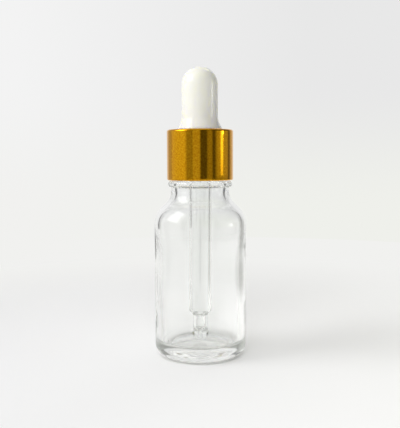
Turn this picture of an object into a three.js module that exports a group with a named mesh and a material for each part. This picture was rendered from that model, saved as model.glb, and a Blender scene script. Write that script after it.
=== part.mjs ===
// Glass dropper bottle: a small round-shouldered bottle closed by a screw collar that carries
// a rubber bulb and a drawn glass pipette. Millimetres, +Z up, origin at the centre of the base.
//
// Every piece turns about the Z axis, so each is one closed profile of [radius, height] points
// revolved about it. The bottle is drawn from its base. The closure is drawn from the sealing
// rim, which is height 0 inside its own group.

import * as THREE from "three";

// Bottle body
const BODY_DIAMETER = 28.5;
const BOTTLE_HEIGHT = 65; // base to sealing rim
const BODY_WALL = 2;
const SHOULDER_WALL = 1.45; // blown glass thins where it stretches over the shoulder
const WALL_BLEND = 12; // length below the shoulder over which the wall thickens to BODY_WALL
const SHOULDER_RADIUS = 8;
const HEEL_RADIUS = 3.75;
const INNER_HEEL_RADIUS = 1.3;

// Bottle base
const BASE_THICKNESS = 2.1; // glass at the middle of the base
const PUSH_UP = 2.3; // how far the middle of the base stands above the bearing ring
const PUSH_UP_STEP = 1.2; // part of that height that rises steeply beside the bearing ring
const PUSH_UP_STEP_WIDTH = 0.5;
const BEARING_WIDTH = 0.7; // flat ring that the bottle stands on

// Bottle neck
const NECK_DIAMETER = 18.1;
const NECK_LENGTH = 1.4; // straight neck below the bead
const NECK_FILLET = 5; // neck to shoulder
const BEAD_STEP = 0.9; // bead, proud of the neck
const BEAD_HEIGHT = 1.9;
const BEAD_ROUND = 0.7; // edge of the bead, above its sloping lower flank
const FINISH_DIAMETER = 16; // root of the neck thread
const FINISH_HEIGHT = 10.4; // top of the bead to the rim
const FINISH_WALL = 1.6;
const THROAT_WALL = 0.95; // glass at the foot of the finish, where the bore has opened to the throat
const THROAT_BLEND = 5; // height over which the bore opens
const THROAT_FILLET = 8; // throat to the inside of the shoulder
const RIM_ROUND = 0.5;

// Screw collar
const THREAD_DEPTH = 0.95; // room between the neck and the collar's bore for both threads
const COLLAR_WALL = 0.85;
const COLLAR_CEILING = 1.5;
const SHELL_THICKNESS = 0.4;
const COLLAR_CORNER = 0.3; // top edge of the screw collar, which the shell is drawn over
const SHELL_ROLL = 0.1; // how far the lower edge is rolled in
const SHELL_ROLL_HEIGHT = 0.3;

// Rubber bulb
const BULB_DIAMETER = 11.2;
const BULB_LENGTH = 19.2; // collar top to the crown of the dome
const BULB_WALL = 1.5;
const GROOVE_STEP = 0.45; // groove floor, proud of the bulb's side
const SKIRT_OVERHANG = 0.75; // skirt resting on the collar, past the hole's edge
const SKIRT_EDGE = 0.3; // upright rim of the skirt
const SKIRT_HEIGHT = 3.8;
const FLANGE_OVERHANG = 1.2; // flange held under the collar, past the hole's edge
const FLANGE_THICKNESS = 2.4;
const SOCKET_DEPTH = 6.4; // underside of the flange to the ledge that the pipette's bead hangs on

// Glass pipette
const PIPETTE_DIAMETER = 7;
const PIPETTE_WALL = 0.85;
const TOP_BEAD_STEP = 0.4; // fire-polished bead, proud of the tube
const TOP_BEAD_HEIGHT = 1.2;
const TAPER_LENGTH = 1.8; // full tube to drawn stem
const STEM_DIAMETER = 4.65;
const STEM_LENGTH = 4.4;
const STEM_BORE = 2;
const TIP_BALL_DIAMETER = 5.2;
const TIP_BALL_HEIGHT = 2.6;
const TIP_ORIFICE = 1;
const TIP_CLEARANCE = 0.8; // tip to the floor of the bottle

// Sealing gasket
const GASKET_THICKNESS = 1;
const GASKET_INSET = 0.15; // inside the edge of the neck finish

// Clearances
const SEAT_GAP = 0.02; // between faces that sit on each other
const SLIP_GAP = 0.05; // between round faces pushed one into the other
const TURN_GAP = 0.15; // between the turning collar and the bulb
const BEAD_GAP = 0.3; // collar to the bottle's bead

// Facets round a full turn
const BOTTLE_FACETS = 40;
const COLLAR_FACETS = 40;
const BULB_FACETS = 32;
const PIPETTE_FACETS = 24;

// Points along an arc of a profile, angles in degrees from the outward radius
function arc(centreR, centreZ, radius, from, to, steps) {
  return Array.from({ length: steps + 1 }, (_, i) => {
    const angle = THREE.MathUtils.degToRad(from + ((to - from) * i) / steps);
    return [centreR + radius * Math.cos(angle), centreZ + radius * Math.sin(angle)];
  });
}

// Points of a smooth S between two radii, in line with the axis at both ends
function sweep(fromR, fromZ, toR, toZ, steps) {
  return Array.from({ length: steps + 1 }, (_, i) => {
    const share = i / steps;
    const eased = (1 - Math.cos(Math.PI * share)) / 2;
    return [fromR + (toR - fromR) * eased, fromZ + (toZ - fromZ) * share];
  });
}

// Points of a hollow flare that starts steep and ends in line with the axis
function flare(fromR, fromZ, toR, toZ, steps) {
  return Array.from({ length: steps + 1 }, (_, i) => {
    const share = i / steps;
    return [toR + (fromR - toR) * (1 - share) ** 2, fromZ + (toZ - fromZ) * share];
  });
}

// One named solid of revolution. A ring's profile is closed back onto its first point.
function revolve(name, profile, facets, material) {
  const onAxis = profile[0][0] === 0;
  const outline = onAxis ? profile : [...profile, profile[0]];
  const points = outline.map(([r, z]) => new THREE.Vector2(r, z));
  const geometry = new THREE.LatheGeometry(points, facets).rotateX(Math.PI / 2);
  const mesh = new THREE.Mesh(geometry, material);
  mesh.name = name;
  return mesh;
}

const clearGlass = new THREE.MeshStandardMaterial({
  color: 0xeef1ee, roughness: 0.03, metalness: 0, transparent: true, opacity: 0.3,
});
const goldAluminium = new THREE.MeshStandardMaterial({ color: 0xc8920e, roughness: 0.25, metalness: 1 });
const whiteRubber = new THREE.MeshStandardMaterial({ color: 0xf4f3ee, roughness: 0.35, metalness: 0 });
const whitePolypropylene = new THREE.MeshStandardMaterial({ color: 0xf0f0ec, roughness: 0.5, metalness: 0 });
const gasketPolyethylene = new THREE.MeshStandardMaterial({ color: 0xe9ebe8, roughness: 0.6, metalness: 0 });

// Heights shared by the bottle and the closure
const beadTop = BOTTLE_HEIGHT - FINISH_HEIGHT;
const floorHeight = PUSH_UP + BASE_THICKNESS;

// Heights and radii shared by the closure's pieces, above the rim
const gasketTop = GASKET_THICKNESS;
const flangeTop = gasketTop + SEAT_GAP + FLANGE_THICKNESS;
const ceilingTop = flangeTop + SEAT_GAP + COLLAR_CEILING;
const collarTop = ceilingTop + SEAT_GAP + SHELL_THICKNESS;
const collarBottom = BEAD_GAP - FINISH_HEIGHT;
const rollTop = collarBottom + SHELL_ROLL_HEIGHT;
const collarBore = FINISH_DIAMETER / 2 + THREAD_DEPTH;
const collarRadius = collarBore + COLLAR_WALL;
const grooveRadius = BULB_DIAMETER / 2 + GROOVE_STEP;
const holeRadius = grooveRadius + TURN_GAP;
const pipetteRadius = PIPETTE_DIAMETER / 2;
const socketLedge = gasketTop + SEAT_GAP + SOCKET_DEPTH;

// Moulded bottle: push-up, heel, body, shoulder, neck, bead and finish outside, then the
// inside from the rim down to the floor
function glassBottle() {
  const body = BODY_DIAMETER / 2;
  const neck = NECK_DIAMETER / 2;
  const bead = neck + BEAD_STEP;
  const finish = FINISH_DIAMETER / 2;
  const bore = finish - FINISH_WALL;
  const throat = finish - THROAT_WALL;
  const inner = body - BODY_WALL;
  const bearing = body - HEEL_RADIUS;

  // The shoulder is a convex arc from the body, tangent to a concave fillet at the neck
  const beadBottom = beadTop - BEAD_HEIGHT;
  const neckEnd = beadBottom - NECK_LENGTH;
  const shoulderR = body - SHOULDER_RADIUS;
  const filletR = neck + NECK_FILLET;
  const reach = SHOULDER_RADIUS + NECK_FILLET;
  const shoulderZ = neckEnd - Math.sqrt(reach ** 2 - (filletR - shoulderR) ** 2);
  const join = THREE.MathUtils.radToDeg(Math.atan2(neckEnd - shoulderZ, filletR - shoulderR));

  // Inside, a pair of arcs of the same kind leads from the throat to the wall of the shoulder
  const innerShoulder = SHOULDER_RADIUS - SHOULDER_WALL;
  const throatR = throat + THROAT_FILLET;
  const innerReach = innerShoulder + THROAT_FILLET;
  const throatEnd = shoulderZ + Math.sqrt(innerReach ** 2 - (throatR - shoulderR) ** 2);
  const innerJoin = THREE.MathUtils.radToDeg(Math.atan2(throatEnd - shoulderZ, throatR - shoulderR));

  // The push-up rises steeply from the inner edge of the bearing ring, then as a shallow dome
  const stepEdge = bearing - BEARING_WIDTH;
  const domeEdge = stepEdge - PUSH_UP_STEP_WIDTH;
  const domeRise = PUSH_UP - PUSH_UP_STEP;
  const domeRadius = (domeEdge ** 2 + domeRise ** 2) / (2 * domeRise);
  const domeEnd = THREE.MathUtils.radToDeg(Math.acos(domeEdge / domeRadius));

  return revolve("glass_bottle", [
    [0, PUSH_UP],
    ...arc(0, PUSH_UP - domeRadius, domeRadius, 90, domeEnd, 4).slice(1),
    [stepEdge, 0],
    ...arc(bearing, HEEL_RADIUS, HEEL_RADIUS, -90, 0, 6),
    ...arc(shoulderR, shoulderZ, SHOULDER_RADIUS, 0, join, 8),
    ...arc(filletR, neckEnd, NECK_FILLET, 180 + join, 180, 5).slice(1),
    [neck, beadBottom],
    ...arc(bead - BEAD_ROUND, beadTop - BEAD_ROUND, BEAD_ROUND, -45, 80, 5),
    [finish, beadTop],
    ...arc(finish - RIM_ROUND, BOTTLE_HEIGHT - RIM_ROUND, RIM_ROUND, 0, 90, 3),
    ...arc(bore + RIM_ROUND, BOTTLE_HEIGHT - RIM_ROUND, RIM_ROUND, 90, 180, 3),
    ...sweep(bore, beadTop + THROAT_BLEND, throat, beadTop, 4),
    ...arc(throatR, throatEnd, THROAT_FILLET, 180, 180 + innerJoin, 5),
    ...arc(shoulderR, shoulderZ, innerShoulder, innerJoin, 0, 7).slice(1),
    ...sweep(body - SHOULDER_WALL, shoulderZ, inner, shoulderZ - WALL_BLEND, 4).slice(1),
    ...arc(inner - INNER_HEEL_RADIUS, floorHeight + INNER_HEEL_RADIUS, INNER_HEEL_RADIUS, 0, -90, 5),
    [0, floorHeight],
  ], BOTTLE_FACETS, clearGlass);
}

// Flat washer that seals the rim round the pipette
function sealingGasket() {
  const outer = FINISH_DIAMETER / 2 - GASKET_INSET;
  const hole = pipetteRadius + SLIP_GAP;
  return revolve("sealing_gasket", [
    [hole, SEAT_GAP],
    [outer, SEAT_GAP],
    [outer, gasketTop],
    [hole, gasketTop],
  ], BULB_FACETS, gasketPolyethylene);
}

// Hollow teat: dome and side, a skirt that sits on the collar, the groove for the collar's
// edge, the flange held under it, and inside a socket with a ledge for the pipette
function rubberBulb() {
  const side = BULB_DIAMETER / 2;
  const crown = collarTop + BULB_LENGTH;
  const domeZ = crown - side;
  const skirtBottom = collarTop + SEAT_GAP;
  const flangeBottom = gasketTop + SEAT_GAP;
  const flange = holeRadius + FLANGE_OVERHANG;
  const cavity = side - BULB_WALL;
  const socket = pipetteRadius + SLIP_GAP;
  return revolve("rubber_bulb", [
    [socket, flangeBottom],
    [flange, flangeBottom],
    [flange, flangeTop],
    [grooveRadius, flangeTop],
    [grooveRadius, skirtBottom],
    [holeRadius + SKIRT_OVERHANG, skirtBottom],
    ...flare(holeRadius + SKIRT_OVERHANG, skirtBottom + SKIRT_EDGE, side, skirtBottom + SKIRT_HEIGHT, 6),
    ...arc(0, domeZ, side, 0, 90, 9).slice(0, -1),
    [0, crown],
    [0, crown - BULB_WALL],
    ...arc(0, domeZ, cavity, 90, 0, 7).slice(1),
    [cavity, socketLedge],
    [socket, socketLedge],
  ], BULB_FACETS, whiteRubber);
}

// Drawn tube: a bead at the top that hangs on the bulb's ledge, a straight tube, a taper to
// a narrow stem and a rounded ball tip with its orifice
function glassPipette() {
  const bore = pipetteRadius - PIPETTE_WALL;
  const stem = STEM_DIAMETER / 2;
  const stemBore = STEM_BORE / 2;
  const orifice = TIP_ORIFICE / 2;
  const ball = TIP_BALL_DIAMETER / 2;
  const tip = floorHeight + TIP_CLEARANCE - BOTTLE_HEIGHT;
  const ballMiddle = tip + TIP_BALL_HEIGHT / 2;
  const ballTop = tip + TIP_BALL_HEIGHT;
  const stemTop = ballTop + STEM_LENGTH;
  const taperTop = stemTop + TAPER_LENGTH;
  const beadBottom = socketLedge + SEAT_GAP;
  const beadRound = TOP_BEAD_HEIGHT / 2;
  const beadCentre = pipetteRadius + TOP_BEAD_STEP - beadRound;
  const tipFace = ball - TIP_BALL_HEIGHT / 2;
  return revolve("glass_pipette", [
    [orifice, tip],
    ...arc(tipFace, ballMiddle, TIP_BALL_HEIGHT / 2, -80, 0, 5),
    ...sweep(ball, ballMiddle, stem, ballTop, 4).slice(1),
    ...sweep(stem, stemTop, pipetteRadius, taperTop, 6),
    [pipetteRadius, beadBottom],
    ...arc(beadCentre, beadBottom + beadRound, beadRound, -60, 60, 4),
    [bore, beadBottom + TOP_BEAD_HEIGHT],
    ...sweep(bore, taperTop, stemBore, stemTop, 6),
    ...sweep(stemBore, ballTop + stemBore, orifice, ballTop, 3),
  ], PIPETTE_FACETS, clearGlass);
}

// Inner screw collar: the threaded sleeve and the ceiling that presses on the bulb's flange
function threadedCollar() {
  return revolve("threaded_collar", [
    [collarBore, rollTop],
    [collarRadius, rollTop],
    ...arc(collarRadius - COLLAR_CORNER, ceilingTop - COLLAR_CORNER, COLLAR_CORNER, 0, 90, 3),
    [holeRadius, ceilingTop],
    [holeRadius, flangeTop + SEAT_GAP],
    [collarBore, flangeTop + SEAT_GAP],
  ], COLLAR_FACETS, whitePolypropylene);
}

// Drawn aluminium shell over the screw collar, rounded at the top and rolled in at its lower edge
function collarShell() {
  const inside = collarRadius + SLIP_GAP;
  const outside = inside + SHELL_THICKNESS;
  const underside = ceilingTop + SEAT_GAP;
  const corner = COLLAR_CORNER + SHELL_THICKNESS;
  return revolve("collar_shell", [
    [inside - SHELL_ROLL, collarBottom],
    [outside - SHELL_ROLL, collarBottom],
    ...sweep(outside - SHELL_ROLL, collarBottom, outside, rollTop, 4).slice(1),
    ...arc(outside - corner, collarTop - corner, corner, 0, 90, 5),
    [holeRadius, collarTop],
    [holeRadius, underside],
    ...arc(inside - COLLAR_CORNER, underside - COLLAR_CORNER, COLLAR_CORNER, 90, 0, 3),
    [inside, rollTop],
  ], COLLAR_FACETS, goldAluminium);
}

const dropper = new THREE.Group();
dropper.position.z = BOTTLE_HEIGHT;
dropper.add(sealingGasket(), rubberBulb(), glassPipette());

const collar = new THREE.Group();
collar.position.z = BOTTLE_HEIGHT;
collar.add(threadedCollar(), collarShell());

const dropperBottle = new THREE.Group();
dropperBottle.add(glassBottle(), dropper, collar);

export default dropperBottle;
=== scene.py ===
"""Looks of a glass dropper bottle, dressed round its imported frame.

Metres, in the frame of the part: +Z up, origin at the centre of the base. Sizes of pieces
are written in millimetres and turned to metres where a mesh is made.
"""

import logging
import math
from dataclasses import dataclass
from enum import Enum
from functools import partial
from typing import Any, Callable, Sequence

import bpy
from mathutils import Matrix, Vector


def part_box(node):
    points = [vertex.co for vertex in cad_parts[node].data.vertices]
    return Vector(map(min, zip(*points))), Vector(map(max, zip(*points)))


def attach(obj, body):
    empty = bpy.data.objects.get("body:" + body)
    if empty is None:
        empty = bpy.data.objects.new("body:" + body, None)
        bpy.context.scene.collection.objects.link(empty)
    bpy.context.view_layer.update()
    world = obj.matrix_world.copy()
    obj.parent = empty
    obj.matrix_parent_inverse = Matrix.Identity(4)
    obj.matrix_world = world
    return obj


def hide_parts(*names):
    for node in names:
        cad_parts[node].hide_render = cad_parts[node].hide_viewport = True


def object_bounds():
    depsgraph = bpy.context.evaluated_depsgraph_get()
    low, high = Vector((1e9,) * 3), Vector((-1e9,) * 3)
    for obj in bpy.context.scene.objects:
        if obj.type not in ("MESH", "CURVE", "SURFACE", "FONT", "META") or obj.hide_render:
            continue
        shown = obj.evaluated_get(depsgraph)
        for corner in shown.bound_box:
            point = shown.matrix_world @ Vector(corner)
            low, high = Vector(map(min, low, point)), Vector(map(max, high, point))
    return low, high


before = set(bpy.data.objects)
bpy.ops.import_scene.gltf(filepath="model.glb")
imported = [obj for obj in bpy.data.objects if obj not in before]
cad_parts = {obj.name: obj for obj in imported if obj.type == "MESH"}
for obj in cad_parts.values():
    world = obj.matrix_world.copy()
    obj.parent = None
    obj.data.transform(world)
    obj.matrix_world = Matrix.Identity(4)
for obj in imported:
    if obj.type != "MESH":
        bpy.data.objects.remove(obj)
CAD_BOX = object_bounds()

MM = 0.001
MERGE_MM = 0.002
NEAR_MM = 0.01
# Height between the rings of vertices that a thread is raised on.
THREAD_RING_MM = 0.16
IMAGE_WIDTH, IMAGE_HEIGHT = 400, 428
LIGHT_BOUNCES = 64
RGBA = {"data_type": "RGBA"}
SMOOTH = {"interpolation_type": "SMOOTHSTEP"}
# Places of a Mix node's two colours, whose names other inputs share.
MIX_A, MIX_B = 6, 7
LOG = logging.getLogger("dropper_bottle")

Point = tuple[float, float]
Colour = tuple[float, float, float, float]
Adder = Callable[..., bpy.types.Node]


class Body(Enum):
    """Rigid bodies of the frame that a piece can ride on."""

    BOTTLE = "bottle"
    DROPPER = "dropper"
    COLLAR = "collar"


class Slot(Enum):
    """Material slots of the record."""

    GLASS = "clear_glass"
    GOLD = "gold_aluminium"
    RUBBER = "white_rubber"
    POLYPROPYLENE = "white_polypropylene"
    POLYETHYLENE = "natural_polyethylene"


def linear(hex_colour: str) -> Colour:
    """Turns an sRGB hex colour to linear light.

    Args:
        hex_colour: colour written as "#RRGGBB".

    Returns:
        Linear red, green, blue and an alpha of 1.
    """
    parts = [int(hex_colour[i : i + 2], 16) / 255 for i in (1, 3, 5)]
    red, green, blue = (p / 12.92 if p <= 0.04045 else ((p + 0.055) / 1.055) ** 2.4 for p in parts)
    return (red, green, blue, 1.0)


def add_node(
    tree: bpy.types.NodeTree,
    kind: str,
    inputs: dict[str | int, Any] | None = None,
    **settings: Any,
) -> bpy.types.Node:
    """Adds a node, sets its properties, and fills or links its inputs.

    Args:
        tree: node tree that gets the node.
        kind: Blender's name for the type of node, after "ShaderNode".
        inputs: input sockets by name or index, each with a value, an output socket to link, or
            a node whose first output in use is linked.
        settings: properties of the node, by name.

    Returns:
        The new node.
    """
    node = tree.nodes.new(f"ShaderNode{kind}")
    for name, value in settings.items():
        setattr(node, name, value)
    for socket, value in (inputs or {}).items():
        if isinstance(value, bpy.types.Node):
            value = next(output for output in value.outputs if output.enabled)
        if isinstance(value, bpy.types.NodeSocket):
            tree.links.new(value, node.inputs[socket])
        else:
            node.inputs[socket].default_value = value
    return node


def new_material(name: str) -> tuple[bpy.types.Material, Adder]:
    """Makes an empty node material.

    Args:
        name: name of the material.

    Returns:
        The material and the function that adds a node to it.
    """
    material = bpy.data.materials.new(name)
    material.use_nodes = True
    material.node_tree.nodes.clear()
    return material, partial(add_node, material.node_tree)


def arc(centre: Point, radius: float, start: float, end: float, steps: int) -> list[Point]:
    """Points along an arc of a profile.

    Args:
        centre: radius and height of the arc's centre.
        radius: radius of the arc.
        start: first angle in degrees, from the outward radius.
        end: last angle in degrees.
        steps: number of stretches.

    Returns:
        Points from the first angle to the last.
    """
    angles = [math.radians(start + (end - start) * i / steps) for i in range(steps + 1)]
    return [(centre[0] + radius * math.cos(a), centre[1] + radius * math.sin(a)) for a in angles]


def sweep(start: Point, end: Point, steps: int) -> list[Point]:
    """Points of a smooth S between two radii, level with the axis at both ends.

    Args:
        start: first point.
        end: last point.
        steps: number of stretches.

    Returns:
        Points from start to end.
    """
    shares = [i / steps for i in range(steps + 1)]
    return [
        (
            start[0] + (end[0] - start[0]) * (1 - math.cos(math.pi * share)) / 2,
            start[1] + (end[1] - start[1]) * share,
        )
        for share in shares
    ]


def straight(start: Point, end: Point, steps: int) -> list[Point]:
    """Evenly spaced points between two ends, without the ends.

    Args:
        start: point before the first.
        end: point after the last.
        steps: number of stretches.

    Returns:
        The points in between.
    """
    return [
        (start[0] + (end[0] - start[0]) * i / steps, start[1] + (end[1] - start[1]) * i / steps)
        for i in range(1, steps)
    ]


def turn(name: str, profile: Sequence[Point], steps: int, crease: float = 40) -> bpy.types.Object:
    """Extrudes one vertex along a profile and spins it about the axis.

    Args:
        name: name of the piece.
        profile: (radius, height) points in millimetres, from axis to axis, or round a ring's
            section, which is closed here.
        steps: facets round a full turn.
        crease: angle in degrees past which an edge stays sharp.

    Returns:
        The closed piece, with its place in its mesh.
    """
    radius, height = profile[0]
    if radius > 0:
        profile = [*profile, profile[0]]
    bpy.ops.object.select_all(action="DESELECT")
    bpy.ops.mesh.primitive_plane_add(size=MM, location=(radius * MM, 0, height * MM))
    piece = bpy.context.object
    piece.name = piece.data.name = name
    bpy.ops.object.transform_apply(location=True, rotation=True, scale=True)
    bpy.ops.object.mode_set(mode="EDIT")
    bpy.ops.mesh.select_all(action="SELECT")
    bpy.ops.mesh.merge(type="CENTER")
    for before, after in zip(profile, profile[1:]):
        step = ((after[0] - before[0]) * MM, 0, (after[1] - before[1]) * MM)
        bpy.ops.mesh.extrude_vertices_move(TRANSFORM_OT_translate={"value": step})
    bpy.ops.mesh.select_all(action="SELECT")
    bpy.ops.mesh.spin(steps=steps, angle=2 * math.pi, center=(0, 0, 0), axis=(0, 0, 1))
    bpy.ops.mesh.select_all(action="SELECT")
    bpy.ops.mesh.remove_doubles(threshold=MERGE_MM * MM)
    bpy.ops.mesh.normals_make_consistent(inside=False)
    bpy.ops.object.mode_set(mode="OBJECT")
    bpy.ops.object.shade_smooth_by_angle(angle=math.radians(crease))
    return piece


def fit(
    piece: bpy.types.Object, material: bpy.types.Material, body: Body, node: str
) -> bpy.types.Object:
    """Dresses a piece and sets it on the frame in place of its solid.

    Args:
        piece: finished mesh.
        material: finish of the whole piece.
        body: body that the piece moves with.
        node: solid that the piece stands for.

    Returns:
        The piece.
    """
    piece.data.materials.clear()
    piece.data.materials.append(material)
    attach(piece, body.value)
    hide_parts(node)
    LOG.info("%s: %d faces, rides on %s", piece.name, len(piece.data.polygons), body.value)
    return piece


def radius_of(node: str) -> float:
    """Outer radius of a solid of the frame, in millimetres."""
    low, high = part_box(node)
    return (high.x - low.x) / 2 / MM


def span_of(node: str) -> tuple[float, float]:
    """Lowest and highest height of a solid of the frame, in millimetres."""
    low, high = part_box(node)
    return low.z / MM, high.z / MM


@dataclass(frozen=True)
class ClearGlass:
    """Soda-lime glass, blown or drawn and left fire-polished.

    It is colourless in thin places and grey-green through its edges, and its skin is mirror
    smooth but not quite flat, so what is seen through it wavers. Fine rings under the base break
    the light in the heel into streaks. They are drawn as coarse as they need to show.
    """

    name: str = "clear_soda_lime_glass"
    pale: str = "#FFFFFF"
    tinted: str = "#FBFCFB"
    absorbed: str = "#C9D0C4"
    density: float = 4.0
    ior: float = 1.52
    roughness: float = 0.0
    waver_mm: float = 9.0
    waver_depth_mm: float = 0.03
    ridge_mm: float = 0.75
    ridge_depth_mm: float = 0.035
    ridge_top_mm: float = 4.0

    def material(self) -> bpy.types.Material:
        """Builds the glass."""
        material, add = new_material(self.name)
        place = add("TexCoord").outputs["Object"]
        waver = add("TexNoise", {"Vector": place, "Scale": 1 / (self.waver_mm * MM), "Detail": 1.0})
        tint = add(
            "Mix", {"Factor": waver, MIX_A: linear(self.pale), MIX_B: linear(self.tinted)}, **RGBA
        )
        bump = add("Bump", {"Distance": self.waver_depth_mm * MM, "Height": waver})
        parted = add("SeparateXYZ", {0: place})
        base = add(
            "MapRange",
            {"Value": parted.outputs["Z"], "From Min": self.ridge_top_mm * MM, "From Max": 0.0},
            **SMOOTH,
        )
        # At a scale of 1 the pattern's rings are a tenth of pi apart.
        ridges = add(
            "TexWave",
            {
                "Vector": place,
                "Scale": math.pi / (10 * self.ridge_mm * MM),
                "Distortion": 2.0,
                "Detail": 1.0,
                "Detail Scale": 0.8,
            },
            wave_type="RINGS",
            rings_direction="Z",
        )
        mark = add("Math", {0: base, 1: ridges.outputs["Fac"]}, operation="MULTIPLY")
        marked = add(
            "Bump", {"Distance": self.ridge_depth_mm * MM, "Height": mark, "Normal": bump}
        )
        shader = add(
            "BsdfPrincipled",
            {
                "Base Color": tint,
                "Roughness": self.roughness,
                "IOR": self.ior,
                "Transmission Weight": 1.0,
                "Normal": marked,
            },
        )
        inside = add("VolumeAbsorption", {"Color": linear(self.absorbed), "Density": self.density})
        add("OutputMaterial", {"Surface": shader, "Volume": inside})
        return material


@dataclass(frozen=True)
class GoldAnodisedAluminium:
    """Drawn aluminium, bright dipped and anodised gold.

    It mirrors the studio in clean upright bands, softened by a faint orange peel, under the
    clear skin of the anodising. The peel is drawn as coarse as it needs to show.
    """

    name: str = "gold_anodised_aluminium"
    deep: str = "#CE8C06"
    bright: str = "#E8AC18"
    smooth: float = 0.08
    satin: float = 0.14
    peel_mm: float = 0.45
    peel_depth_mm: float = 0.0025
    peel_range: tuple[float, float] = (0.32, 0.68)
    skin: float = 0.05
    skin_roughness: float = 0.08

    def material(self) -> bpy.types.Material:
        """Builds the anodised metal."""
        material, add = new_material(self.name)
        place = add("TexCoord").outputs["Object"]
        peel = add("TexNoise", {"Vector": place, "Scale": 1 / (self.peel_mm * MM), "Detail": 2.0})
        low, high = self.peel_range
        speck = add("MapRange", {"Value": peel, "From Min": low, "From Max": high})
        colour = add(
            "Mix", {"Factor": speck, MIX_A: linear(self.deep), MIX_B: linear(self.bright)}, **RGBA
        )
        rough = add("MapRange", {"Value": peel, "To Min": self.smooth, "To Max": self.satin})
        bump = add("Bump", {"Distance": self.peel_depth_mm * MM, "Height": peel})
        shader = add(
            "BsdfPrincipled",
            {
                "Base Color": colour,
                "Metallic": 1.0,
                "Roughness": rough,
                "Coat Weight": self.skin,
                "Coat Roughness": self.skin_roughness,
                "Normal": bump,
            },
        )
        add("OutputMaterial", {"Surface": shader})
        return material


@dataclass(frozen=True)
class MouldedWhite:
    """White moulded polymer.

    It has a soft body that light sinks into, cloudy by a hair, under a more or less glossy skin.
    """

    name: str
    pale: str
    shade: str
    smooth: float
    dull: float
    grain_mm: float
    grain_depth_mm: float
    sink: float
    sink_mm: float
    ior: float
    cloud_grains: float = 20
    sink_colour: tuple[float, float, float] = (1.0, 0.95, 0.4)

    def material(self) -> bpy.types.Material:
        """Builds the polymer."""
        material, add = new_material(self.name)
        place = add("TexCoord").outputs["Object"]
        cloud = add(
            "TexNoise", {"Vector": place, "Scale": 1 / (self.cloud_grains * self.grain_mm * MM)}
        )
        grain = add("TexNoise", {"Vector": place, "Scale": 1 / (self.grain_mm * MM), "Detail": 3.0})
        colour = add(
            "Mix", {"Factor": cloud, MIX_A: linear(self.pale), MIX_B: linear(self.shade)}, **RGBA
        )
        rough = add("MapRange", {"Value": grain, "To Min": self.smooth, "To Max": self.dull})
        bump = add("Bump", {"Distance": self.grain_depth_mm * MM, "Height": grain})
        shader = add(
            "BsdfPrincipled",
            {
                "Base Color": colour,
                "Roughness": rough,
                "IOR": self.ior,
                "Subsurface Weight": self.sink,
                "Subsurface Radius": self.sink_colour,
                "Subsurface Scale": self.sink_mm * MM,
                "Normal": bump,
            },
        )
        add("OutputMaterial", {"Surface": shader})
        return material


WHITE_RUBBER = MouldedWhite(
    name="white_moulded_rubber",
    pale="#F1F0E8",
    shade="#ECEBE0",
    smooth=0.04,
    dull=0.08,
    grain_mm=0.25,
    grain_depth_mm=0.001,
    sink=0.5,
    sink_mm=2.5,
    ior=1.5,
)
WHITE_POLYPROPYLENE = MouldedWhite(
    name="white_moulded_polypropylene",
    pale="#F2F2EF",
    shade="#EAEAE6",
    smooth=0.38,
    dull=0.5,
    grain_mm=0.2,
    grain_depth_mm=0.004,
    sink=0.1,
    sink_mm=0.5,
    ior=1.49,
)
NATURAL_POLYETHYLENE = MouldedWhite(
    name="natural_cut_polyethylene",
    pale="#EDEFEC",
    shade="#E2E5E2",
    smooth=0.45,
    dull=0.6,
    grain_mm=0.15,
    grain_depth_mm=0.005,
    sink=0.3,
    sink_mm=1.0,
    ior=1.51,
)


@dataclass(frozen=True)
class ScrewThread:
    """Right-hand ridge that climbs round a neck or inside a collar, in millimetres."""

    start: float
    pitch: float
    turns: float
    depth: float
    root_width: float
    crest_width: float
    run_out: float = math.radians(30)

    def rise(self, angle: float, height: float) -> float:
        """Height of the ridge above its root, or below it where the depth is negative.

        Args:
            angle: angle about the axis, in radians.
            height: height above the edge that the thread starts from.

        Returns:
            The share of the depth, times the depth.
        """
        whole = 2 * math.pi * self.turns
        best = 0.0
        for lap in range(math.ceil(self.turns)):
            along = angle % (2 * math.pi) + 2 * math.pi * lap
            if along > whole:
                break
            away = abs(height - self.start - self.pitch * along / (2 * math.pi))
            flank = (self.root_width / 2 - away) / ((self.root_width - self.crest_width) / 2)
            ends = min(along, whole - along) / self.run_out
            best = max(best, ease(flank) * ease(ends))
        return best * self.depth

    def raise_on(self, piece: bpy.types.Object, radius: float, edge: float) -> None:
        """Moves the vertices of one cylinder of a piece out, or in, to form the ridge.

        Args:
            piece: turned piece with closely spaced rings on that cylinder.
            radius: radius of the cylinder.
            edge: height of the edge that the thread starts from.
        """
        for vertex in piece.data.vertices:
            x, y, z = (value / MM for value in vertex.co)
            here = math.hypot(x, y)
            if abs(here - radius) > NEAR_MM:
                continue
            share = 1 + self.rise(math.atan2(y, x), z - edge) / here
            vertex.co.x *= share
            vertex.co.y *= share
        piece.data.update()


def ease(share: float) -> float:
    """Smooth step of a share that is first held between 0 and 1."""
    held = min(max(share, 0.0), 1.0)
    return held * held * (3 - 2 * held)


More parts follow.
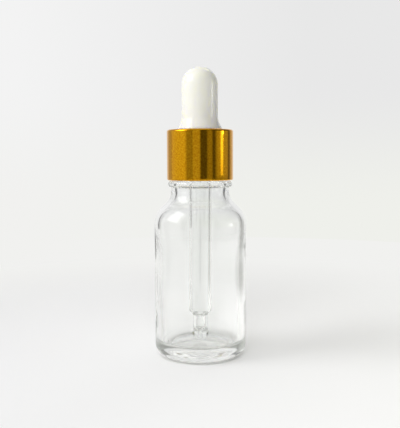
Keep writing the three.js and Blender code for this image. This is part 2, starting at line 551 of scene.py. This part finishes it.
@dataclass
class GlassBottle:
    """Blown bottle: push-up, heel, body, shoulder, neck, bead and screw finish, in millimetres."""

    material: bpy.types.Material
    body_radius: float = radius_of("glass_bottle")
    rim: float = span_of("glass_bottle")[1]
    wall: float = 2.0
    shoulder_wall: float = 1.45
    wall_blend: float = 12.0
    shoulder_radius: float = 8.0
    foot_wall: float = 2.35
    foot_blend: float = 12.0
    heel_radius: float = 3.75
    inner_heel_radius: float = 1.3
    base_thickness: float = 2.1
    push_up: float = 2.3
    bearing_width: float = 0.7
    base_step: float = 1.2
    base_step_width: float = 0.5
    floor_dish: float = 0.3
    floor_ring: float = 10.05
    floor_ring_width: float = 1.0
    floor_ring_height: float = 0.25
    floor_spacing: float = 0.06
    neck_radius: float = 9.05
    neck_length: float = 1.4
    neck_fillet: float = 5.0
    bead_radius: float = 9.95
    bead_height: float = 1.9
    bead_round: float = 0.9
    bead_fillet: float = 0.4
    bead_undercut: float = 0.2
    finish_radius: float = 8.0
    finish_height: float = 10.4
    bore_radius: float = 6.4
    bore_foot: float = 6.0
    throat_radius: float = 7.05
    throat_top: float = 1.5
    throat_fillet: float = 8.0
    rim_round: float = 0.5
    thread: ScrewThread = ScrewThread(
        start=2.6, pitch=3.0, turns=1.6, depth=0.72, root_width=2.0, crest_width=0.7
    )
    ripple: float = 0.07
    ripple_length: float = 19.5
    ripple_crest: float = 18.5
    ripple_drift: float = 1.3
    ripple_fades: tuple[float, float] = (14.0, 16.0)
    oval: float = 0.35
    oval_twist: float = 9.0
    lean: float = 0.15
    facets: int = 192

    def build(self) -> bpy.types.Object:
        """Turns the bottle, raises its thread, lets its inner wall waver and dresses it."""
        piece = turn("bottle_glass", self._profile(), self.facets, crease=60)
        self.thread.raise_on(piece, self.finish_radius, self.rim - self.finish_height)
        self._waver(piece)
        piece.visible_shadow = False
        return fit(piece, self.material, Body.BOTTLE, "glass_bottle")

    def _profile(self) -> list[Point]:
        """Outline from the middle of the base, over the rim, to the middle of the floor."""
        body, neck = self.body_radius, self.neck_radius
        finish, bore = self.finish_radius, self.bore_radius
        inner = body - self.wall
        bearing = body - self.heel_radius
        bead_top = self.rim - self.finish_height
        bead_bottom = bead_top - self.bead_height
        neck_end = bead_bottom - self.neck_length
        shoulder_r = body - self.shoulder_radius
        fillet_r = neck + self.neck_fillet
        shoulder_z = self._shoulder()
        join = math.degrees(math.atan2(neck_end - shoulder_z, fillet_r - shoulder_r))
        bead = self.bead_round
        bead_foot = bead_bottom - self.bead_undercut
        bore_foot, throat_top = bead_top + self.bore_foot, bead_top + self.throat_top
        edge = bearing - self.bearing_width
        inset = edge - self.base_step_width
        dome = self.push_up - self.base_step
        floor = self.push_up + self.base_thickness
        blend = shoulder_z - self.wall_blend
        round_z = self.rim - self.rim_round
        foot = body - self.foot_wall
        inner_heel = (foot - self.inner_heel_radius, floor + self.inner_heel_radius)
        foot_top = inner_heel[1] + self.foot_blend
        rings = round(self.finish_height / THREAD_RING_MM)
        throat = self.throat_radius
        inner_shoulder = self.shoulder_radius - self.shoulder_wall
        throat_r = throat + self.throat_fillet
        reach = inner_shoulder + self.throat_fillet
        throat_end = shoulder_z + math.sqrt(reach**2 - (throat_r - shoulder_r) ** 2)
        inner_join = math.degrees(math.atan2(throat_end - shoulder_z, throat_r - shoulder_r))
        near_heel = [inner_heel[0] - self.floor_spacing * i for i in range(1, 30)]
        return [
            (0, self.push_up),
            *[(inset * s, self.push_up - dome * s * s) for s in (i / 20 for i in range(1, 21))],
            *sweep((inset, self.push_up - dome), (edge, 0), 8)[1:],
            *arc((bearing, self.heel_radius), self.heel_radius, -90, 0, 40),
            *straight((body, self.heel_radius), (body, shoulder_z), 24),
            *arc((shoulder_r, shoulder_z), self.shoulder_radius, 0, join, 36),
            *arc((fillet_r, neck_end), self.neck_fillet, 180 + join, 180, 24)[1:],
            *straight((neck, neck_end), (neck, bead_foot), 6),
            *arc((neck + self.bead_fillet, bead_foot), self.bead_fillet, 180, 125, 6),
            *arc((self.bead_radius - bead, bead_bottom + bead), bead, -55, 0, 12),
            *arc((self.bead_radius - bead, bead_top - bead), bead, 0, 85, 12),
            (finish, bead_top),
            *straight((finish, bead_top), (finish, round_z), rings),
            *arc((finish - self.rim_round, round_z), self.rim_round, 0, 90, 6),
            *arc((bore + self.rim_round, round_z), self.rim_round, 90, 180, 6),
            *sweep((bore, bore_foot), (throat, throat_top), 10),
            *straight((throat, throat_top), (throat, throat_end), 12),
            *arc((throat_r, throat_end), self.throat_fillet, 180, 180 + inner_join, 32),
            *arc((shoulder_r, shoulder_z), inner_shoulder, inner_join, 0, 32)[1:],
            *sweep((body - self.shoulder_wall, shoulder_z), (inner, blend), 20)[1:],
            *straight((inner, blend), (inner, foot_top), 28),
            *sweep((inner, foot_top), (foot, inner_heel[1]), 16)[:-1],
            *arc(inner_heel, self.inner_heel_radius, 0, -90, 32),
            *[(r, self._floor(r, floor, inner_heel[0])) for r in (*near_heel, *range(8, 0, -1))],
            (0, floor - self.floor_dish),
        ]

    def _floor(self, radius: float, edge_height: float, edge_radius: float) -> float:
        """Height of the dished floor and the ring that the mould's parting leaves in it.

        Args:
            radius: distance from the axis.
            edge_height: height of the floor's edge.
            edge_radius: radius of the floor's edge.

        Returns:
            Height of the floor there.
        """
        across = min(abs(radius - self.floor_ring) / (self.floor_ring_width / 2), 1.0)
        dish = self.floor_dish * (1 - (radius / edge_radius) ** 2)
        return edge_height - dish + self.floor_ring_height * (1 - across**2) ** 2

    def _shoulder(self) -> float:
        """Height where the straight body meets the shoulder."""
        neck_end = self.rim - self.finish_height - self.bead_height - self.neck_length
        across = self.neck_radius + self.neck_fillet - (self.body_radius - self.shoulder_radius)
        reach = self.shoulder_radius + self.neck_fillet
        return neck_end - math.sqrt(reach**2 - across**2)

    def _waver(self, piece: bpy.types.Object) -> None:
        """Lets the wall thickness swell and thin, as a blown wall does.

        Args:
            piece: turned bottle.
        """
        low = self.push_up + self.base_thickness + self.inner_heel_radius
        high = self._shoulder()
        fade_low, fade_high = self.ripple_fades
        for vertex in piece.data.vertices:
            x, y, z = (value / MM for value in vertex.co)
            here = math.hypot(x, y)
            if not low < z < high or here > self.body_radius - self.shoulder_wall / 2:
                continue
            angle = math.atan2(y, x)
            window = ease((z - low) / fade_low) * ease((high - z) / fade_high)
            along = 2 * math.pi * (z - self.ripple_crest) / self.ripple_length
            wave = math.cos(along + self.ripple_drift * math.sin(angle / 2))
            oval = self.oval * math.cos(2 * angle + z / self.oval_twist)
            share = 1 + self.ripple * window * (wave + oval) / here
            vertex.co.x = vertex.co.x * share - self.lean * window * MM
            vertex.co.y *= share
        piece.data.update()


@dataclass
class GlassPipette:
    """Drawn tube: polished bead at the top, taper, narrow stem and ball tip, in millimetres."""

    material: bpy.types.Material
    span: tuple[float, float] = span_of("glass_pipette")
    radius: float = 3.5
    wall: float = 0.85
    bead_radius: float = radius_of("glass_pipette")
    bead_height: float = 1.2
    taper: float = 1.8
    stem_radius: float = 2.325
    stem_length: float = 4.4
    stem_bore: float = 1.0
    ball_radius: float = 2.6
    ball_height: float = 2.6
    orifice: float = 0.5
    tip_edge: float = 0.1
    top_round: float = 0.2
    facets: int = 96

    def build(self) -> bpy.types.Object:
        """Turns and dresses the pipette."""
        piece = turn("pipette_glass", self._profile(), self.facets, crease=60)
        piece.visible_shadow = False
        return fit(piece, self.material, Body.DROPPER, "glass_pipette")

    def _profile(self) -> list[Point]:
        """Outline from the orifice up the outside and back down the bore."""
        tip, top = self.span
        bore = self.radius - self.wall
        ball = self.ball_height / 2
        ball_middle = tip + ball
        ball_top = tip + self.ball_height
        bore_end = ball_top + self.stem_bore
        stem_top = ball_top + self.stem_length
        taper_top = stem_top + self.taper
        bead = self.bead_height / 2
        bead_bottom = top - self.bead_height
        return [
            (self.orifice, tip + self.tip_edge),
            (self.orifice + self.tip_edge, tip),
            *arc((self.ball_radius - ball, ball_middle), ball, -84, 0, 12),
            *sweep((self.ball_radius, ball_middle), (self.stem_radius, ball_top), 8)[1:],
            *straight((self.stem_radius, ball_top), (self.stem_radius, stem_top), 6),
            *sweep((self.stem_radius, stem_top), (self.radius, taper_top), 16),
            *straight((self.radius, taper_top), (self.radius, bead_bottom), 20),
            (self.radius, bead_bottom),
            *arc((self.bead_radius - bead, bead_bottom + bead), bead, -70, 80, 10),
            *arc((bore + self.top_round, top - self.top_round), self.top_round, 90, 180, 4),
            *straight((bore, top), (bore, taper_top), 20),
            *sweep((bore, taper_top), (self.stem_bore, stem_top), 16),
            *straight((self.stem_bore, stem_top), (self.stem_bore, bore_end), 4),
            *arc((0, bore_end), self.stem_bore, 0, -62, 8),
        ]


@dataclass
class RubberBulb:
    """Hollow teat: dome, skirt on the collar, groove and flange under it, in millimetres."""

    material: bpy.types.Material
    span: tuple[float, float] = span_of("rubber_bulb")
    collar_top: float = span_of("collar_shell")[1]
    side: float = 5.6
    wall: float = 1.5
    groove_radius: float = 6.05
    skirt_radius: float = 6.95
    skirt_height: float = 3.8
    skirt_lip: float = 0.3
    seat_gap: float = 0.02
    flange_radius: float = radius_of("rubber_bulb")
    flange_thickness: float = 2.4
    socket_radius: float = 3.55
    socket_depth: float = 6.4
    edge: float = 0.25
    facets: int = 112

    def build(self) -> bpy.types.Object:
        """Turns and dresses the bulb."""
        piece = turn("bulb_rubber", self._profile(), self.facets)
        return fit(piece, self.material, Body.DROPPER, "rubber_bulb")

    def _profile(self) -> list[Point]:
        """Outline from the socket's mouth round the outside and back down the cavity."""
        bottom, crown = self.span
        dome = crown - self.side
        skirt = self.collar_top + self.seat_gap
        flange_top = bottom + self.flange_thickness
        ledge = bottom + self.socket_depth
        cavity = self.side - self.wall
        edge = self.edge
        flare, lip = self.skirt_radius - self.side, skirt + self.skirt_lip
        return [
            (self.socket_radius, bottom + edge),
            *arc((self.socket_radius + edge, bottom + edge), edge, 180, 270, 4)[1:],
            *arc((self.flange_radius - edge, bottom + edge), edge, -90, 0, 4),
            *arc((self.flange_radius - edge, flange_top - edge), edge, 0, 90, 4),
            (self.groove_radius, flange_top),
            (self.groove_radius, skirt),
            *arc((self.skirt_radius - edge, skirt + edge), edge, -90, 0, 4),
            *[
                (self.side + flare * (1 - s) ** 2, lip + self.skirt_height * s)
                for s in (i / 14 for i in range(14))
            ],
            *straight((self.side, skirt + self.skirt_height), (self.side, dome), 8),
            *arc((0, dome), self.side, 0, 90, 24)[:-1],
            (0, crown),
            (0, crown - self.wall),
            *arc((0, dome), cavity, 90, 0, 14)[1:],
            (cavity, ledge),
            (self.socket_radius, ledge),
        ]


@dataclass
class SealingGasket:
    """Flat washer cut from sheet, on the rim round the pipette, in millimetres."""

    material: bpy.types.Material
    span: tuple[float, float] = span_of("sealing_gasket")
    radius: float = radius_of("sealing_gasket")
    hole: float = 3.55
    edge: float = 0.12
    facets: int = 96

    def build(self) -> bpy.types.Object:
        """Turns and dresses the gasket."""
        piece = turn("gasket_washer", self._profile(), self.facets)
        return fit(piece, self.material, Body.DROPPER, "sealing_gasket")

    def _profile(self) -> list[Point]:
        """Outline of the washer's section, with cut edges eased."""
        bottom, top = self.span
        edge = self.edge
        return [
            (self.hole, bottom + edge),
            (self.hole + edge, bottom),
            *arc((self.radius - edge, bottom + edge), edge, -90, 0, 3),
            *arc((self.radius - edge, top - edge), edge, 0, 90, 3),
            (self.hole + edge, top),
            (self.hole, top - edge),
        ]


@dataclass
class ScrewCollar:
    """Moulded sleeve with an inner thread and the ceiling that clamps the bulb, in millimetres."""

    material: bpy.types.Material
    span: tuple[float, float] = span_of("threaded_collar")
    radius: float = radius_of("threaded_collar")
    bore: float = 8.95
    hole: float = 6.2
    ceiling: float = 1.5
    corner: float = 0.3
    edge: float = 0.1
    bore_edge: float = 0.2
    thread: ScrewThread = ScrewThread(
        start=1.3, pitch=3.0, turns=1.5, depth=-0.6, root_width=1.3, crest_width=0.5
    )
    facets: int = 144

    def build(self) -> bpy.types.Object:
        """Turns the sleeve, raises its inner thread and dresses it."""
        piece = turn("collar_sleeve", self._profile(), self.facets)
        self.thread.raise_on(piece, self.bore, self.span[0])
        return fit(piece, self.material, Body.COLLAR, "threaded_collar")

    def _profile(self) -> list[Point]:
        """Outline from the sleeve's mouth over the outside and back down the bore."""
        bottom, top = self.span
        under = top - self.ceiling
        rings = round((under - bottom) / THREAD_RING_MM)
        bore_top = (self.bore, under - self.bore_edge)
        bore_bottom = (self.bore, bottom + self.bore_edge)
        return [
            (self.bore + self.bore_edge, bottom),
            (self.radius - self.edge, bottom),
            (self.radius, bottom + self.edge),
            *arc((self.radius - self.corner, top - self.corner), self.corner, 0, 90, 4),
            (self.hole, top),
            (self.hole, under),
            (self.bore - self.bore_edge, under),
            bore_top,
            *straight(bore_top, bore_bottom, rings),
            bore_bottom,
        ]


@dataclass
class CollarShell:
    """Drawn gold shell, rounded at the top and rolled in at its lower edge, in millimetres."""

    material: bpy.types.Material
    span: tuple[float, float] = span_of("collar_shell")
    radius: float = radius_of("collar_shell")
    thickness: float = 0.4
    corner: float = 0.7
    hole: float = 6.2
    roll: float = 0.1
    roll_height: float = 0.3
    edge: float = 0.06
    facets: int = 160

    def build(self) -> bpy.types.Object:
        """Turns and dresses the shell."""
        piece = turn("collar_gold_shell", self._profile(), self.facets)
        return fit(piece, self.material, Body.COLLAR, "collar_shell")

    def _profile(self) -> list[Point]:
        """Outline from the rolled lower edge over the top and back down the inside."""
        bottom, top = self.span
        inside = self.radius - self.thickness
        under = top - self.thickness
        lip = self.thickness / 2
        inner_corner = self.corner - self.thickness
        rolled = self.radius - self.roll
        foot, side_foot = bottom + self.edge, (self.radius, bottom + self.roll_height)
        return [
            *arc((inside - self.roll + self.edge, foot), self.edge, 180, 270, 4),
            *arc((rolled - self.edge, foot), self.edge, 270, 360, 4),
            *sweep((rolled, foot), side_foot, 6)[1:],
            *straight(side_foot, (self.radius, top - self.corner), 10),
            *arc((self.radius - self.corner, top - self.corner), self.corner, 0, 90, 8),
            *arc((self.hole + lip, top - lip), lip, 90, 270, 8),
            *arc((inside - inner_corner, under - inner_corner), inner_corner, 90, 0, 5),
            (inside, bottom + self.roll_height),
        ]


@dataclass(frozen=True)
class Panel:
    """Soft light or card of the studio, by its direction from the object, in degrees.

    Azimuth 0 is the camera's side and 90 is the camera's right.
    """

    azimuth: float
    elevation: float
    half_width: float
    half_height: float
    soft: float
    level: float


@dataclass(frozen=True)
class Lamp:
    """Soft box that lights matt surfaces only, aimed at the middle of the object.

    Its direction is in degrees, as a panel's is, and its sizes are in metres.
    """

    azimuth: float
    elevation: float
    distance: float
    width: float
    height: float
    radiance: float

    def build(self) -> None:
        """Hangs the soft box."""
        turned, rise = math.radians(self.azimuth), math.radians(self.elevation)
        level = math.cos(rise)
        way = Vector((level * math.sin(turned), -level * math.cos(turned), math.sin(rise)))
        middle = Vector((0, 0, (CAD_BOX[0].z + CAD_BOX[1].z) / 2))
        bpy.ops.object.light_add(
            type="AREA",
            location=middle + way * self.distance,
            rotation=way.to_track_quat("Z", "Y").to_euler(),
        )
        lamp = bpy.context.object
        lamp.data.shape = "RECTANGLE"
        lamp.data.size = self.width
        lamp.data.size_y = self.height
        lamp.data.energy = self.radiance * math.pi * self.width * self.height
        lamp.visible_camera = False
        lamp.visible_glossy = False
        lamp.visible_transmission = False


@dataclass(frozen=True)
class Flag:
    """Grey card with soft edges that only shows through glass, as dark lines along its edges.

    Its direction is in degrees, as a panel's is, and its sizes are in metres. The soft edge is a
    share of its width and height.
    """

    name: str
    azimuth: float
    distance: float
    width: float
    height: float
    colour: str
    soft: float = 0.4

    def build(self) -> None:
        """Stands the card on the floor."""
        turned = math.radians(self.azimuth)
        bpy.ops.object.select_all(action="DESELECT")
        x, y = self.distance * math.sin(turned), -self.distance * math.cos(turned)
        bpy.ops.mesh.primitive_plane_add(
            size=1, location=(x, y, self.height / 2), rotation=(math.radians(90), 0, turned)
        )
        flag = bpy.context.object
        flag.name = flag.data.name = self.name
        flag.scale = (self.width, self.height, 1)
        bpy.ops.object.transform_apply(location=True, rotation=True, scale=True)
        material, add = new_material(f"{self.name}_grey")
        place = add("TexCoord").outputs["UV"]
        parted = add("SeparateXYZ", {0: place})
        shares = []
        for axis in ("X", "Y"):
            offset = add("Math", {0: parted.outputs[axis], 1: 0.5}, operation="SUBTRACT")
            aside = add("Math", {0: offset}, operation="ABSOLUTE")
            edge = {"Value": aside, "From Min": 0.5, "From Max": 0.5 - self.soft}
            shares.append(add("MapRange", edge, **SMOOTH))
        cover = add("Math", {0: shares[0], 1: shares[1]}, operation="MULTIPLY")
        card = add("Emission", {"Color": linear(self.colour)})
        clear = add("BsdfTransparent")
        blend = add("MixShader", {0: cover, 1: clear, 2: card})
        add("OutputMaterial", {"Surface": blend})
        flag.data.materials.append(material)
        flag.visible_camera = False
        flag.visible_diffuse = False
        flag.visible_glossy = False
        flag.visible_shadow = False


@dataclass
class Studio:
    """Pale floor, wrapped soft light and the camera of the photograph, in metres and degrees."""

    # Azimuth, elevation, half width, half height, width of the soft edge, and level.
    panels: tuple[Panel, ...] = (
        Panel(-79, 36, 20, 20, 9, 4.0),
        Panel(-82, 10, 36, 44, 20, 0.8),
        Panel(-133, 10, 24, 44, 10, 0.55),
        Panel(-38, 0, 12, 50, 8, 0.36),
        Panel(-13, 0, 14, 50, 8, 0.55),
        Panel(34, 0, 10, 30, 8, 0.33),
        Panel(85, 4, 29, 14, 20, 0.52),
        Panel(81, 5, 6, 7, 5, 2.1),
        Panel(85.5, 5.2, 1.5, 2.4, 0.6, 13.0),
        Panel(136, 4, 12, 14, 8, 0.6),
        Panel(152, 49, 6, 6, 2, 3.5),
        Panel(180, 0, 42, 80, 14, 0.88),
        Panel(0, 90, 180, 28, 8, 0.75),
    )
    cards: tuple[Panel, ...] = (
        *(Panel(azimuth, 27, 8, 35, 5, 0.15) for azimuth in (-133, -47, 47, 133)),
        Panel(0, 90, 180, 66, 14, 0.72),
    )
    lamps: tuple[Lamp, ...] = (
        Lamp(azimuth=-64, elevation=40, distance=0.55, width=0.34, height=0.26, radiance=1.45),
        Lamp(azimuth=-10, elevation=24, distance=0.6, width=0.44, height=0.4, radiance=2.4),
        Lamp(azimuth=0, elevation=-90, distance=0.008, width=0.012, height=0.012, radiance=13.0),
    )
    flags: tuple[Flag, ...] = (
        Flag("studio_flag_right", 128, distance=0.05, width=0.04, height=0.056, colour="#B8B8B4"),
        Flag("studio_flag_front", 0, distance=0.05, width=0.03, height=0.056, colour="#8A8A87"),
    )
    room: float = 0.1
    room_tone: str = "#FFB878"
    toned_levels: tuple[float, float] = (0.1, 0.5)
    backdrop_low: tuple[str, str] = ("#F1F1EF", "#EFF0EB")
    backdrop_high: tuple[str, str] = ("#F3F3F3", "#E8E8E8")
    backdrop_rise: tuple[float, float] = (-5, 6)
    backdrop_sides: tuple[float, float] = (-0.25, 0.15)
    # Floor colours at the left and the right; the darker right is painted shade of the lamps'
    # falloff.
    floor_painted_shade_colours: tuple[str, str] = ("#F2F2F2", "#E9E9E7")
    floor_painted_shade_sides: tuple[float, float] = (-0.06, 0.06)
    # Paler floor colour for rays through glass: painted light for what the glass lets through.
    floor_painted_light_through_glass: str = "#FBFBFA"
    floor_radius: float = 0.3
    floor_fade: tuple[float, float] = (0.06, 0.2)
    film_radius: float = 0.013
    film_height: float = 0.05
    film_colour: str = "#EDEDEB"
    contact_radius: float = 0.0117
    contact_thickness: float = 0.0016
    contact_height: float = 0.00096
    contact_colour: str = "#CACAC8"
    camera_distance: float = 0.2114
    camera_height: float = 0.0631
    camera_pitch: float = 5.1
    camera_roll: float = 0.2
    focal_pixels: float = 680.8

    def build(self) -> None:
        """Sets the floor, the light, the camera and the view."""
        self._floor()
        self._glass_shadow()
        for flag in self.flags:
            flag.build()
        self._world()
        for lamp in self.lamps:
            lamp.build()
        self._camera()
        scene = bpy.context.scene
        scene.view_settings.view_transform = "Standard"
        scene.cycles.max_bounces = LIGHT_BOUNCES
        scene.cycles.transmission_bounces = LIGHT_BOUNCES
        scene.cycles.glossy_bounces = LIGHT_BOUNCES

    def _floor(self) -> None:
        """Lays a pale sheet that fades into the backdrop and keeps the object's shadow, with
        painted shade to the right and painted light where glass shows it.
        """
        bpy.ops.object.select_all(action="DESELECT")
        bpy.ops.mesh.primitive_circle_add(vertices=128, radius=self.floor_radius, fill_type="NGON")
        floor = bpy.context.object
        floor.name = floor.data.name = "studio_floor"
        material, add = new_material("pale_paper_floor")
        place = add("TexCoord").outputs["Object"]
        away = add("VectorMath", {0: place}, operation="LENGTH")
        near, far = self.floor_fade
        fade = add("MapRange", {"Value": away, "From Min": near, "From Max": far}, **SMOOTH)
        parted = add("SeparateXYZ", {0: place})
        # Painted shade: the floor's colour darkens from left to right, in place of the lamps' light
        # falling off.
        left, right = self.floor_painted_shade_sides
        aside = add("MapRange", {"Value": parted.outputs["X"], "From Min": left, "From Max": right})
        pale, painted_shade = (linear(colour) for colour in self.floor_painted_shade_colours)
        tone = add("Mix", {"Factor": aside, MIX_A: pale, MIX_B: painted_shade}, **RGBA)
        # Painted light: seen through glass, the floor takes the paler colour.
        through = add("LightPath").outputs["Is Transmission Ray"]
        sheet = add(
            "Mix", {"Factor": through, MIX_A: tone, MIX_B: linear(self.floor_painted_light_through_glass)}, **RGBA
        )
        paper = add("BsdfDiffuse", {"Color": sheet, "Roughness": 1.0})
        glow = add("Emission", {"Color": linear(self.backdrop_low[0])})
        blend = add("MixShader", {0: fade, 1: paper, 2: glow})
        add("OutputMaterial", {"Surface": blend})
        floor.data.materials.append(material)

    def _glass_shadow(self) -> None:
        """Stands a film in the bottle, for its faint shadow, and lays one round its foot."""
        bpy.ops.object.select_all(action="DESELECT")
        bpy.ops.mesh.primitive_cylinder_add(
            vertices=64,
            radius=self.film_radius,
            depth=self.film_height,
            location=(0, 0, self.film_height / 2),
        )
        self._shade_only("studio_shadow_film", self.film_colour)
        bpy.ops.object.select_all(action="DESELECT")
        bpy.ops.mesh.primitive_torus_add(
            major_radius=self.contact_radius,
            minor_radius=self.contact_thickness / 2,
            major_segments=96,
            location=(0, 0, self.contact_height),
        )
        self._shade_only("studio_contact_film", self.contact_colour)

    def _shade_only(self, name: str, colour: str) -> None:
        """Makes the active object a film that nothing but shadow rays meets.

        Args:
            name: name of the film.
            colour: share of light that each skin of the film lets through, as a colour.
        """
        film = bpy.context.object
        film.name = film.data.name = name
        bpy.ops.object.transform_apply(location=True, rotation=True, scale=True)
        material, add = new_material(f"{name}_grey")
        clear = add("BsdfTransparent", {"Color": linear(colour)})
        add("OutputMaterial", {"Surface": clear})
        film.data.materials.append(material)
        film.visible_camera = False
        film.visible_diffuse = False
        film.visible_glossy = False
        film.visible_transmission = False

    def _world(self) -> None:
        """Wraps the object in soft panels.

        The camera sees a plain pale backdrop instead. Through glass the same backdrop shows,
        dimmed by the cards, with the brightest panels in it. The dark room between the panels is
        warm where a skin mirrors it.
        """
        world = bpy.data.worlds.new("studio")
        world.use_nodes = True
        bpy.context.scene.world = world
        world.node_tree.nodes.clear()
        add = partial(add_node, world.node_tree)
        way = add("TexCoord").outputs["Generated"]
        parted = add("SeparateXYZ", {0: way})
        rise = add("Math", {0: parted.outputs["Z"]}, operation="ARCSINE")
        path = add("LightPath").outputs
        level = self._panels(add, way, rise, self.panels, self.room, "MAXIMUM")
        dark, lit = self.toned_levels
        warmth = add("MapRange", {"Value": level, "From Min": dark, "From Max": lit})
        # A ray's depth is 1 after its first bounce.
        first = add("Math", {0: path["Ray Depth"], 1: 1.5}, operation="LESS_THAN")
        skin = add("Math", {0: path["Is Glossy Ray"], 1: first}, operation="MULTIPLY")
        mirrored = add("Math", {0: skin, 1: warmth}, operation="SUBTRACT")
        tone = add(
            "Mix",
            {"Factor": mirrored, MIX_A: linear("#FFFFFF"), MIX_B: linear(self.room_tone)},
            **RGBA,
            clamp_factor=True,
        )
        light = add("VectorMath", {0: tone, "Scale": level}, operation="SCALE")
        through = self._panels(add, way, rise, self.cards, None, "MINIMUM")
        backdrop = self._backdrop(add, rise, parted.outputs["X"])
        dimmed = add("VectorMath", {0: backdrop, "Scale": through}, operation="SCALE")
        sparkle = add("Math", {0: level, 1: 1.0}, operation="SUBTRACT", use_clamp=True)
        behind = add("VectorMath", {0: dimmed, 1: sparkle}, operation="ADD")
        seen = add(
            "Mix", {"Factor": path["Is Transmission Ray"], MIX_A: light, MIX_B: behind}, **RGBA
        )
        chosen = add("Mix", {"Factor": path["Is Camera Ray"], MIX_A: seen, MIX_B: backdrop}, **RGBA)
        background = add("Background", {"Color": chosen})
        add("OutputWorld", {"Surface": background})

    def _backdrop(
        self, add: Adder, rise: bpy.types.Node, side: bpy.types.NodeSocket
    ) -> bpy.types.Node:
        """Shades the backdrop from its foot up and from left to right.

        Args:
            add: function that adds a node to the world.
            rise: elevation of the ray, in radians.
            side: share of the ray that points to the right.

        Returns:
            Colour of the backdrop in the ray's direction.
        """
        foot, top = (math.radians(angle) for angle in self.backdrop_rise)
        drop = add("MapRange", {"Value": rise, "From Min": foot, "From Max": top}, **SMOOTH)
        start, end = self.backdrop_sides
        aside = add("MapRange", {"Value": side, "From Min": start, "From Max": end})
        lower, upper = (
            add("Mix", {"Factor": aside, MIX_A: linear(left), MIX_B: linear(right)}, **RGBA)
            for left, right in (self.backdrop_low, self.backdrop_high)
        )
        return add("Mix", {"Factor": drop, MIX_A: lower, MIX_B: upper}, **RGBA)

    def _panels(
        self,
        add: Adder,
        way: bpy.types.NodeSocket,
        rise: bpy.types.Node,
        panels: Sequence[Panel],
        room: float | None,
        join: str,
    ) -> bpy.types.Node:
        """Draws panels by direction.

        Args:
            add: function that adds a node to the world.
            way: direction of the ray.
            rise: elevation of the ray, in radians.
            panels: panels to draw.
            room: level between bright panels, or None where dark cards dim a level of 1.
            join: math operation that joins one panel with the rest.

        Returns:
            Level of light from that direction.
        """
        total: Any = 1.0 if room is None else room
        ground = 1.0 if room is None else 0.0
        for panel in panels:
            turned = math.radians(panel.azimuth)
            across, ahead = (
                add("VectorMath", {0: way, 1: axis}, operation="DOT_PRODUCT")
                for axis in (
                    (math.cos(turned), math.sin(turned), 0),
                    (math.sin(turned), -math.cos(turned), 0),
                )
            )
            aside = add("Math", {0: across, 1: ahead}, operation="ARCTAN2")
            middle = math.radians(panel.elevation)
            above = add("Math", {0: rise, 1: middle}, operation="SUBTRACT")
            shares = []
            for offset, half in ((aside, panel.half_width), (above, panel.half_height)):
                size = add("Math", {0: offset}, operation="ABSOLUTE")
                edge = {
                    "Value": size,
                    "From Min": math.radians(half - panel.soft / 2),
                    "From Max": math.radians(half + panel.soft / 2),
                    "To Min": 1.0,
                    "To Max": 0.0,
                }
                shares.append(add("MapRange", edge, **SMOOTH))
            area = add("Math", {0: shares[0], 1: shares[1]}, operation="MULTIPLY")
            level = add("MapRange", {"Value": area, "To Min": ground, "To Max": panel.level})
            total = add("Math", {0: total, 1: level}, operation=join)
        return total

    def _camera(self) -> None:
        """Stands the camera where the photograph was taken from."""
        bpy.ops.object.camera_add(
            location=(0, -self.camera_distance, self.camera_height),
            rotation=(math.radians(90 - self.camera_pitch), math.radians(self.camera_roll), 0),
        )
        camera = bpy.context.object
        camera.name = camera.data.name = "photo_camera"
        longest = max(IMAGE_WIDTH, IMAGE_HEIGHT)
        camera.data.lens = self.focal_pixels * camera.data.sensor_width / longest
        camera.data.clip_start = 0.001
        bpy.context.scene.camera = camera


def main() -> None:
    """Builds the studio and each piece of the bottle and its closure."""
    logging.basicConfig(level=logging.INFO, format="%(message)s")
    Studio().build()
    glass = ClearGlass().material()
    GlassBottle(glass).build()
    GlassPipette(glass).build()
    RubberBulb(WHITE_RUBBER.material()).build()
    SealingGasket(NATURAL_POLYETHYLENE.material()).build()
    ScrewCollar(WHITE_POLYPROPYLENE.material()).build()
    CollarShell(GoldAnodisedAluminium().material()).build()


if __name__ == "__main__":
    main()
